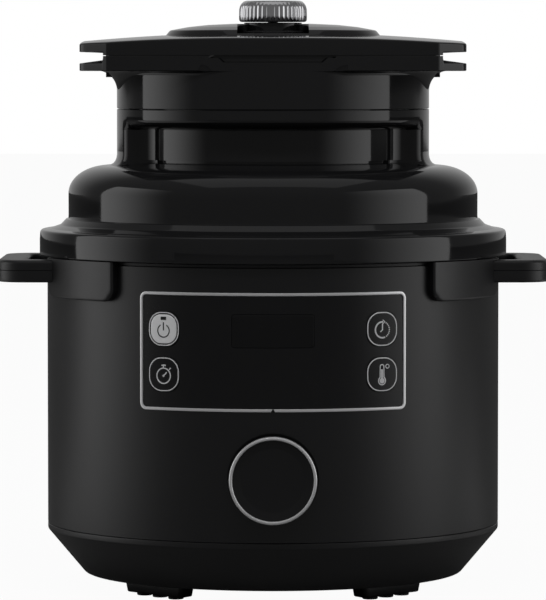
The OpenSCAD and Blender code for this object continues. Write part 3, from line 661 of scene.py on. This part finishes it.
def lug(name, side, end):
    """The curved panel at one end of a handle: proud of the body, with round lower corners."""
    near, beyond = math.radians(LUG_START), math.radians(LUG_END)
    low, top, proud, corner = HANDLE_LOW.z - 0.5, BODY_TOP + 2.2, 6.0, 9.0
    soft = 1.6
    width = (beyond - near) * (BODY_R + proud)
    ramp = [soft * (1 - math.cos(math.pi / 2 * k / 6)) for k in range(7)]
    between = list(np.linspace(soft, width - soft, 40)[1:-1])
    us = [0.0] + ramp[1:] + between + [width - q for q in reversed(ramp)]
    tall = top - low
    vs = [0.0] + ramp[1:] + list(np.linspace(soft, corner, 14)[1:]) + list(np.linspace(corner, tall, 8)[1:])

    def inset(u, v):
        """Distance inside the outline, whose two lower corners are round."""
        du, dv = min(u, width - u), v
        if du < corner and dv < corner:
            return corner - math.hypot(corner - du, corner - dv)
        return min(du, dv)

    verts, faces = [], []
    for u in us:
        for v in vs:
            uu, vv = u, v
            d = inset(u, v)
            if d < 0:
                # A grid point outside the round corner slides onto it
                du = min(u, width - u)
                cu, cv = corner - du, corner - v
                scale = corner / math.hypot(cu, cv)
                du, vv = corner - cu * scale, corner - cv * scale
                uu = du if u < width / 2 else width - du
                d = 0.0
            q = min(1.0, d / soft)
            lift = proud - soft + soft * math.sqrt(max(0.0, 1 - (1 - q) ** 2)) if d > 0 else proud - soft
            angle = near + uu / (BODY_R + proud)
            if end == "rear":
                angle = math.pi - angle
            r = BODY_R + lift
            verts.append((side * r * math.sin(angle), -r * math.cos(angle), low + vv))
    rows, cols = len(us), len(vs)
    for i in range(rows - 1):
        for j in range(cols - 1):
            faces.append((i * cols + j, (i + 1) * cols + j, (i + 1) * cols + j + 1, i * cols + j + 1))
    rim = [(i, 0) for i in range(rows)] + [(rows - 1, j) for j in range(1, cols)]
    rim += [(i, cols - 1) for i in range(rows - 2, -1, -1)] + [(0, j) for j in range(cols - 2, 0, -1)]
    start = len(verts)
    for i, j in rim:
        x, y, z = verts[i * cols + j]
        share = (BODY_R - 1.2) / math.hypot(x, y)
        verts.append((x * share, y * share, z))
    for k in range(len(rim)):
        n = (k + 1) % len(rim)
        (i, j), (p, q) = rim[k], rim[n]
        faces.append((i * cols + j, p * cols + q, start + n, start + k))
    faces.append(tuple(range(start, len(verts))))
    piece = make(name, verts, faces, SATIN, "base", 45)
    return piece


# ---- Lid ----

DOME_TOP, DOME_SPAN = 392.6, 2900.0


def dome(r):
    """The height of the turning handle's domed top at a radius."""
    return DOME_TOP - r * r / DOME_SPAN


def lid():
    low = LID_LOW.z
    turns = np.linspace(0, math.pi / 2, 25)
    shoulder = [(117.6 + 27.4 * math.cos(t), 279.0 + 19.7 * math.sin(t), 0) for t in turns]
    shell = lathe("lid_skin", [
        (RIM_R, low, 0.8), (RIM_R, 247.0, 0), (RIM_R - 0.5, 253.4, 2.2), (157.5, 254.5, 6),
        (150.6, 256.9, 4), (146.7, 261.0, 0.8), (145.1, 261.5, 0.3), (145.0, 263.5, 0), (145.0, 270, 0)
    ] + shoulder + [
        (104, 300.6, 0), (94.0, 301.6, 0.6), (89, 301.6, 0.4), (89, 289.2, 0), (141.2, 289.2, 9),
        (141.2, 256.6, 0), (151.5, 252.0, 0), (162.4, 248.4, 2), (162.4, low, 0.4)
    ], GLOSS, "lid", steps=320, corner_steps=6)
    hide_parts("lid_shell")
    ring_and_pillars()


def ring_and_pillars():
    """The lid's outer ring on two posts: a wall cut away in front and behind, in a cove, down to the neck."""
    foot = [(297.0, 119.6), (298.2, 117.8), (299.2, 115.2), (300.3, 113.2), (302.0, 111.8), (304.0, 111.0),
            (306.5, RING_R)]
    edge = math.radians(72.5)
    neck = 93.5
    round_r, reach, deep_in = 8.0, 21.5, RING_R - neck
    curve = [(round_r * math.sin(math.pi / 2 * k / 7), round_r * (1 - math.cos(math.pi / 2 * k / 7)))
             for k in range(8)]
    curve += [(round_r + (reach - round_r) * (1 - math.cos(math.pi / 2 * k / 14)),
               round_r + (deep_in - round_r) * math.sin(math.pi / 2 * k / 14)) for k in range(1, 15)]
    cove = reach / 100
    top, deep = 331.8, 8.0

    def outer(z):
        return float(np.interp(z, [q[0] for q in foot], [q[1] for q in foot]))

    levels = [q[0] for q in foot] + [303.2, 303.21] + list(np.linspace(309, 323, 8))
    levels.sort()
    shares = (1.0, 0.97, 0.92, 0.85, 0.76, 0.66, 0.55, 0.44, 0.33, 0.22, 0.12, 0.05, 0)
    levels += [top - deep * share for share in shares]
    levels += [334, 336, SEAM - 0.75, SEAM - 0.4]
    quarter = [edge + 0.004, edge + 0.015]
    quarter += [edge - q[0] / 100 for q in curve]
    quarter += list(np.linspace(0, edge - cove, 31)[:-1]) + list(np.linspace(edge + 0.03, math.pi / 2, 12))
    angles = sorted({round(sign * q + turn, 6) % (2 * math.pi) for q in quarter for sign in (-1, 1)
                     for turn in (0, math.pi)})

    def profile(a):
        away = abs((a + math.pi / 2) % math.pi - math.pi / 2)
        side = float(np.interp((edge - away) * 100, [q[0] for q in curve], [q[1] for q in curve])) / deep_in
        row = [(93.1, SEAM - 0.4), (93.1, 303.3), (90.5, 303.25), (90.5, levels[0])]
        for z in levels:
            d = min(1.0, max(0.0, (top - z) / deep))
            under = 1 - math.sqrt(max(0.0, 1 - (d / 0.9) ** 2)) if d < 0.9 else 1.0
            floor_r = neck if z > 303.205 else neck - 2.0
            row.append((outer(z) - (outer(z) - floor_r) * side * under, z))
        row.append((RING_R - 0.5, SEAM - 0.15))
        return row

    piece = sweep_plan("lid_ring", angles, profile, GLOSS, "lid", 40)


# ---- Turning handle ----

WING_CORNER = (114.4, -87.4, 3.0)           # where the front of the plan turns into a wing, and its radius
WEB_X = 116.6                               # the wall between a wing's two flanges
FLANGE_LOW = 365.6
FLANGE_TOP = 371.0
WEB_LOW = 373.2
SCOOP_LOW = 372.2                           # the thumb scoop in the front, under the parting line
SCOOP_FLAT, SCOOP_HALF = 34.0, 42.3         # half its width along its floor and along its top
SCOOP_REACH = 112.4                         # the plan's radius near the scoop's ends
SCOOP_DEEP, GROOVE_DEEP = 1.9, 3.4          # into the front, for the scoop and the groove along its floor


def plan_radius():
    """Reads the handle's plan as radius by angle from the front: round, then straight out to the wings."""
    leave = math.radians(13)
    r = RING_R
    quarter = [(r * math.sin(a), -r * math.cos(a), 0) for a in np.linspace(0, leave, 5)]
    tip = WING_X - 3.2
    half = quarter + [WING_CORNER, (tip, -72.5, 6), (tip, 0, 0)]
    full = half + [(x, -y, c) for x, y, c in reversed(half[:-1])]
    loop = full + [(-x, y, c) for x, y, c in reversed(full[1:-1])]
    points = rounded(loop, 12)
    angles = [math.atan2(p.x, -p.y) % (2 * math.pi) for p in points]
    order = sorted(range(len(points)), key=lambda i: angles[i])
    xs = np.array([angles[i] for i in order])
    rs = np.array([points[i].length for i in order])
    return xs, rs


PLAN_ANGLES, PLAN_RADII = plan_radius()


def plan_at(a):
    """The plan's radius at an angle; between the plan's points it runs straight."""
    a = a % (2 * math.pi)
    i = int(np.searchsorted(PLAN_ANGLES, a)) % len(PLAN_ANGLES)
    j = i - 1
    a0, a1 = PLAN_ANGLES[j], PLAN_ANGLES[i]
    p = Vector((PLAN_RADII[j] * math.sin(a0), -PLAN_RADII[j] * math.cos(a0)))
    q = Vector((PLAN_RADII[i] * math.sin(a1), -PLAN_RADII[i] * math.cos(a1)))
    d = q - p
    n = Vector((d.y, -d.x))
    if d.length < 1e-9:
        return PLAN_RADII[i]
    ray = Vector((math.sin(a), -math.cos(a)))
    return n.dot(p) / n.dot(ray)


def web_at(a):
    """The radius of the wall between a wing's flanges, or just inside the plan where there is no wing."""
    s = abs(math.sin(a))
    reach = plan_at(a)
    return min(reach - 0.02, WEB_X / s) if s > 0.3 else reach - 0.02


def handle_angles():
    """Even turns, and closer ones where the plan or the scoop changes quickly."""
    even = list(np.linspace(0, 2 * math.pi, 361)[:-1])
    extra = []
    corner = math.atan2(WING_CORNER[0], -WING_CORNER[1])
    for k in (corner, math.pi - corner, math.pi + corner, 2 * math.pi - corner):
        extra += list(np.linspace(k - 0.09, k + 0.09, 25))
    for x in (SCOOP_FLAT, 36.0, 38.0, 40.0, SCOOP_HALF - 0.02, SCOOP_HALF + 0.02):
        turn = math.asin(x / SCOOP_REACH)
        extra += [turn, -turn]
    return sorted(a % (2 * math.pi) for a in even + extra)


def side_share(a):
    """0 round the front and rear, 1 at the two sides."""
    share = min(1.0, max(0.0, (math.degrees(abs(math.asin(math.sin(a)))) - 58) / 24))
    return share * share * (3 - 2 * share)


def handle_lower():
    top = COVER_SEAM - 0.4
    start = SEAM + 0.25
    steps = 16

    def profile(a):
        reach, web = plan_at(a), web_at(a)
        over = max(0.0, reach - RING_R)
        wing = max(0.0, reach - web - 0.02)
        sweep = side_share(a)
        row = [(RING_R - 2.6, start + 2.4), (RING_R - 2.6, start), (RING_R - 0.5, start),
               (RING_R, start + 0.5)]
        crisp = min(1.0, max(0.0, (over - 0.8) / 5))
        crisp = crisp * crisp * (3 - 2 * crisp)
        tall = min(3.5, 0.4 + over) * (1 - sweep) + 14 * sweep
        wide = min(over - 0.9 * crisp, 3.5 + 10.5 * sweep)
        for i in range(steps + 1):
            t = math.pi / 2 * i / steps
            row.append((RING_R + max(0.0, wide) * (1 - math.cos(t)), FLANGE_LOW - tall * (1 - math.sin(t))))
        # The underside runs out to the flange's edge
        row.append((reach - 0.9 * crisp - 0.001, FLANGE_LOW + 0.02))
        row += [(reach - 0.25 * crisp, FLANGE_LOW + 0.3), (reach, FLANGE_LOW + 0.5)]
        across = abs(reach * math.sin(a)) if math.cos(a) > 0 else 99.0
        scoop = SCOOP_DEEP if across < SCOOP_HALF else 0.0
        groove = GROOVE_DEEP if across < SCOOP_HALF else 0.0
        ledge = min(top - 0.6, SCOOP_LOW + max(0.0, across - SCOOP_FLAT) * 0.95)
        if wing > 1.2:
            inner = web
            row += [(reach, FLANGE_TOP - 0.7), (reach - 0.2, FLANGE_TOP - 0.2), (reach - 0.8, FLANGE_TOP),
                    (web + 0.9, WEB_LOW), (web + 0.2, WEB_LOW + 0.4), (inner, WEB_LOW + 1.0)]
        else:
            inner = reach - scoop
            row += [(reach, FLANGE_TOP), (reach, ledge - 0.75), (reach - groove, ledge - 0.6),
                    (reach - groove, ledge - 0.05), (inner, ledge), (inner, max(ledge + 0.2, WEB_LOW + 1.0))]
        row += [(inner, top - 0.1), (inner - 0.1, top), (inner - 2.4, top),
                (inner - 2.4, top + 2.0), (inner - 4.0, top + 2.0), (inner - 4.0, 368), (RING_R - 2.6, 368)]
        return row

    piece = sweep_plan("handle_skin", handle_angles(), profile, GLOSS, "handle", 28)
    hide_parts("handle_body")


def handle_upper():
    low = COVER_SEAM + 0.1

    def profile(a):
        reach, web = plan_at(a), web_at(a)
        wing = max(0.0, reach - web - 0.02)
        top = dome(reach)
        inner = web if wing > 1.2 else reach
        row = [(inner - 1.9, low + 5), (inner - 1.9, low), (inner - 0.1, low), (inner, low + 0.1)]
        if wing > 1.2:
            row += [(inner, 377.4), (inner + 0.9, 378.0), (reach - 0.5, 378.7), (reach, 379.0)]
        else:
            row += [(inner, 377.4), (inner, 378.0), (reach, 378.7), (reach, 379.0)]
        row += [(reach, 380.8), (reach, top - 1.3), (reach - 0.1, top - 0.8), (reach - 0.4, top - 0.35),
                (reach - 0.85, top - 0.06), (reach - 1.5, dome(reach - 1.5))]
        for r in (0.9, 0.8, 0.7, 0.6, 0.5, 0.4, 0.3):
            row.append((reach * r, dome(reach * r)))
        row += [(26.4, dome(26.4)), (26, dome(26) - 0.4), (26, low + 5)]
        return row

    piece = sweep_plan("cover_skin", handle_angles(), profile, GLOSS, "handle", 28)
    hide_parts("handle_cover")
    disc = lathe("disc_skin", [
        (26, 388.6, 0), (26, 398.8, 0.5), (46, 397.9, 30), (60, 396.4, 40), (73.0, 394.0, 2.5),
        (76.0, 390.3, 0.8), (75.0, 388.6, 0)
    ], GLOSS, "handle", steps=256)
    slot = block_tool([(-24.9, 391.6), (24.9, 391.6), (24.9, 405), (-24.9, 405)], -80, 0)
    cut(disc, [slot], GLOSS, "handle")
    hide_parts("cover_disc")
    neck = lathe("neck_skin", [
        (88.3, SEAM, 0), (NECK_HIGH.x, SEAM, 0), (NECK_HIGH.x, NECK_LOW.z, 1.2), (88.3, NECK_LOW.z, 0)
    ], GLOSS, "handle", steps=256)
    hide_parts("neck_sleeve")


def triggers():
    for side, name in ((-1, "left"), (1, "right")):
        low, high = box("grip_" + name)
        outline = [(low.x, low.z), (high.x, low.z), (high.x, low.z + 4.4), (low.x, low.z + 4.4)]
        tool = block_tool(outline, -10, 10)
        tool.name = "trigger_" + name
        tool.data.name = tool.name
        dress(tool, GLOSS, "release_" + name)
        bevel(tool, 0.7)


# ---- Valve ----

def valve():
    flutes = 44
    per = 8
    z0, z1 = VALVE_LOW.z, VALVE_HIGH.z
    rows = [(18.6, z0 + 1.0, 0), (22.2, z0, 0), (23.2, z0 + 0.35, 0.35), (23.6, z0 + 1.3, 1),
            (23.7, z0 + 5, 1), (23.6, z0 + 9.0, 1), (23.1, z0 + 11.2, 0.8), (22.2, z0 + 13.0, 0.3),
            (20.8, z0 + 14.4, 0), (18.9, z1, 0), (17.9, z1 - 0.15, 0), (17.4, z1 - 0.9, 0),
            (17.4, z1 - 1.6, 0), (4.2, z1 - 1.6, 0), (4.2, z0 + 6, 0), (15, z0 + 6, 0), (15, z0 + 1.0, 0)]
    total = flutes * per
    verts = []
    for i in range(total):
        a = 2 * math.pi * i / total
        wave = 0.5 + 0.5 * math.cos(flutes * a)
        groove = 0.62 * (1 - wave ** 0.6)
        for r, z, share in rows:
            rr = r + 0.35 * share - groove * share
            verts.append((rr * math.sin(a), -rr * math.cos(a), z))
    ring = make("valve_grip", verts, grid_faces(total, len(rows)), CHROME, "valve", 50)
    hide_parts("valve_ring")
    cap = lathe("valve_top", [
        (0, z1 - 0.5, 0), (12, z1 - 0.5, 0), (17.3, z1 - 0.75, 0.6), (17.3, z1 - 1.5, 0), (3.6, z1 - 1.5, 0),
        (3.6, z0 - 6, 0.6), (0, z0 - 6, 0)
    ], HANDLE_BLACK, "valve", steps=128)
    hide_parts("valve_cap")
    collar = lathe("valve_neck", [
        (4, 384.1, 0), (25.3, 384.1, 0), (25.3, 393.4, 0.5), (20.5, 393.4, 0.4), (20.5, z0 - 0.5, 0.5),
        (4, z0 - 0.5, 0)
    ], GLOSS, "lid", steps=160)
    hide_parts("valve_collar")
    for i, (start, end) in enumerate(((-128, -56), (56, 128))):
        angles = np.radians(np.linspace(start, end, 60))
        section = [(21.6, 393.2), (25.4, 393.2), (25.6, 393.6), (25.6, 397.3), (25.2, 397.8), (21.9, 397.8),
                   (21.6, 397.4)]
        verts = [(r * math.sin(a), -r * math.cos(a), z) for a in angles for r, z in section]
        count = len(section)
        faces = grid_faces(len(angles), count, closed=False)
        faces += [tuple(range(count)), tuple(range(len(verts) - count, len(verts)))]
        lip = make(f"valve_lip_{i + 1}", verts, faces, GLOSS, "lid", 40)


# ---- Feet ----

FOOT_R = 109.0                              # from the middle to each foot's middle
FOOT_TURNS = (46, 134, 226, 314)


def feet():
    low, high = box("foot_pads")
    for i, a in enumerate(FOOT_TURNS):
        outline = rounded([(-31, -8, 4), (31, -8, 4), (28, 8, 4), (-28, 8, 4)], 5)
        verts = [(p.x * 0.93, p.y * 0.9 - FOOT_R, high.z) for p in outline]
        verts += [(p.x, p.y - FOOT_R, BASE_LOW.z + 1.5) for p in outline]
        turn = Matrix.Rotation(math.radians(a), 3, "Z")
        verts = [turn @ Vector(v) for v in verts]
        foot = make(f"foot_{i + 1}", verts, prism_faces(len(outline)), SATIN, "base")
        bevel(foot, 0.9)
        if i == 0:
            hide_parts("feet")
    for i, a in enumerate(FOOT_TURNS):
        for k, x in enumerate((-16, 0, 16)):
            turn = Matrix.Rotation(math.radians(a), 3, "Z")
            profile = [(0, 0, 0), (5.4, 0, 0.8), (5.5, 2.6, 0.2), (0, 2.6, 0)]
            pad = lathe(f"pad_{i + 1}_{k + 1}", profile, RUBBER, "base", steps=32, corner_steps=4,
                        origin=turn @ Vector((x, -FOOT_R, 0)), sharp=40)
            if i == 0 and k == 0:
                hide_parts("foot_pads")


# ---- The CAD pieces that stay ----

def dress_cad():
    looks = {s["node"]: s["material_slot"] for s in frame["record"]["subparts"]}
    for name, obj in frame["nodes"].items():
        obj.data.materials.clear()
        obj.data.materials.append(SLOT_LOOKS[looks[name]])
        smooth(obj.data, 32)


# ---- Floor, light and camera ----

FRONT_DIM = 0.13


def emitter(name, azimuth, minus, plus, low, high, distance, strength, fade):
    """An upright light panel, minus and plus wide on its two sides, that fades over a part of its width."""
    a = math.radians(azimuth)
    middle = Vector((distance * math.sin(a), -distance * math.cos(a), (low + high) / 2))
    along = Vector((math.cos(a), math.sin(a), 0))
    verts = [middle + along * sx * (plus if sx > 0 else minus) + Vector((0, 0, sz * (high - low) / 2))
             for sx, sz in ((-1, -1), (1, -1), (1, 1), (-1, 1))]
    data = bpy.data.meshes.new(name)
    data.from_pydata(verts, [], [(0, 1, 2, 3)])
    uv = data.uv_layers.new(name="UVMap")
    for loop, place in zip(uv.data, ((0, 0), (1, 0), (1, 1), (0, 1))):
        loop.uv = place
    lit(place_object(name, data), strength, fade)


def floor_card(name, side, strength):
    """A glowing card that lies on the floor beside the object and fades out towards the front."""
    steps = 24
    verts = []
    for i in range(steps + 1):
        a = math.radians(118 - 78 * i / steps)
        verts += [(side * r * math.sin(a), -r * math.cos(a), 0.002) for r in (0.42, 1.5)]
    faces = [(2 * i, 2 * i + 1, 2 * i + 3, 2 * i + 2) for i in range(steps)]
    data = bpy.data.meshes.new(name)
    data.from_pydata(verts, [], faces)
    uv = data.uv_layers.new(name="UVMap")
    for polygon in data.polygons:
        for loop in polygon.loop_indices:
            uv.data[loop].uv = (data.loops[loop].vertex_index // 2 / steps, 0)
    lit(place_object(name, data), strength, (1.0, 0.3))


def lit(obj, strength, fade):
    """Makes a plane glow: from FRONT_DIM at one side of its UV map to its strength at the other."""
    material = bpy.data.materials.new(obj.name)
    material.use_nodes = True
    tree = material.node_tree
    tree.nodes.clear()
    place = add_node(tree, "UVMap", {})["UV"]
    across = add_node(tree, "SeparateXYZ", {"Vector": place})["X"]
    ramp = add_node(tree, "MapRange", {
        "Value": across, "From Min": fade[0], "From Max": fade[1], "To Min": FRONT_DIM, "To Max": strength
    }, interpolation_type="SMOOTHSTEP")["Result"]
    glow = add_node(tree, "Emission", {"Strength": ramp})["Emission"]
    add_node(tree, "OutputMaterial", {"Surface": glow})
    obj.data.materials.append(material)
    obj.visible_camera = False


def area(name, place, aim, size, power, mirrored=True):
    light = bpy.data.lights.new(name, "AREA")
    light.shape = "RECTANGLE"
    light.size, light.size_y = size
    light.energy = power
    obj = place_object(name, light)
    obj.location = place
    obj.rotation_euler = (Vector(aim) - Vector(place)).to_track_quat("-Z", "Y").to_euler()
    obj.visible_camera = False
    obj.visible_glossy = mirrored


def floor_look():
    """Pale and almost shadowless when seen straight, and duller as light that falls on the object."""
    pale = surface("floor", (0.15, 0.15, 0.15), 0.9, spread=0.02, grain=2, bump=0, shade=0.01)
    tree = pale.node_tree
    glow = add_node(tree, "Emission", {"Strength": 1.09})["Emission"]
    seen = add_node(tree, "LightPath", {})["Is Camera Ray"]
    share = add_node(tree, "Math", {0: seen, 1: 0.88}, operation="MULTIPLY")[0]
    lamp = tree.nodes["Principled BSDF"].outputs["BSDF"]
    mix = add_node(tree, "MixShader", {"Fac": share, 1: lamp, 2: glow})["Shader"]
    join(tree, tree.nodes["Material Output"], {"Surface": mix})
    return pale


def stage():
    data = bpy.data.meshes.new("floor")
    span = 14.0
    corners = [(-span, -span, 0), (span, -span, 0), (span, span, 0), (-span, span, 0)]
    data.from_pydata(corners, [], [(0, 1, 2, 3)])
    floor = place_object("floor", data)
    floor.data.materials.append(floor_look())
    world = bpy.data.worlds.new("studio")
    bpy.context.scene.world = world
    world.use_nodes = True
    tree = world.node_tree
    tree.nodes.clear()
    white = (1, 1, 1, 1)
    direct = add_node(tree, "Background", {"Color": white, "Strength": 1.0})["Background"]
    place = add_node(tree, "TexCoord", {})["Generated"]
    behind = add_node(tree, "SeparateXYZ", {"Vector": place})["Y"]
    ramp = add_node(tree, "MapRange", {
        "Value": behind, "From Min": 0.5, "From Max": 0.99, "To Min": FRONT_DIM, "To Max": 0.42
    }, interpolation_type="SMOOTHSTEP")["Result"]
    around = add_node(tree, "Background", {"Color": white, "Strength": ramp})["Background"]
    seen = add_node(tree, "LightPath", {})["Is Camera Ray"]
    mix = add_node(tree, "MixShader", {"Fac": seen, 1: around, 2: direct})["Shader"]
    add_node(tree, "OutputWorld", {"Surface": mix})
    emitter("panel_left", -83, 0.7, 1.1, 0.0, 1.25, 1.5, 1.2, (0.8, 0.17))
    emitter("panel_right", 67, 1.2, 0.7, 0.0, 1.25, 1.5, 1.2, (0.17, 0.92))
    emitter("panel_front", 0, 4.0, 4.0, 0.0, 1.25, 3.6, FRONT_DIM, (0.0, 1.0))
    area("front_wide", (0, -1.9, 2.9), (0, 0, 0.2), (3.6, 0.5), 60, False)
    area("overhead", (0, -0.2, 2.6), (0, 0, 0.2), (2.6, 2.0), 4)
    floor_card("card_left", -1, 0.5)
    floor_card("card_right", 1, 0.5)


def camera():
    eye = 0.3767
    distance = 3.193
    tilt = math.radians(3.117)
    data = bpy.data.cameras.new("camera")
    data.lens = 270
    data.sensor_width = 36
    obj = place_object("camera", data)
    obj.location = (0, -distance, eye)
    obj.rotation_euler = (math.pi / 2 - tilt, 0, 0)
    bpy.context.scene.camera = obj


camera()
stage()
dress_cad()
base()
body_skin()
panel()
keys()
dial()
side_handle(1, "right")
side_handle(-1, "left")
lid()
handle_lower()
handle_upper()
triggers()
valve()
feet()
bpy.context.scene.view_settings.view_transform = "Standard"
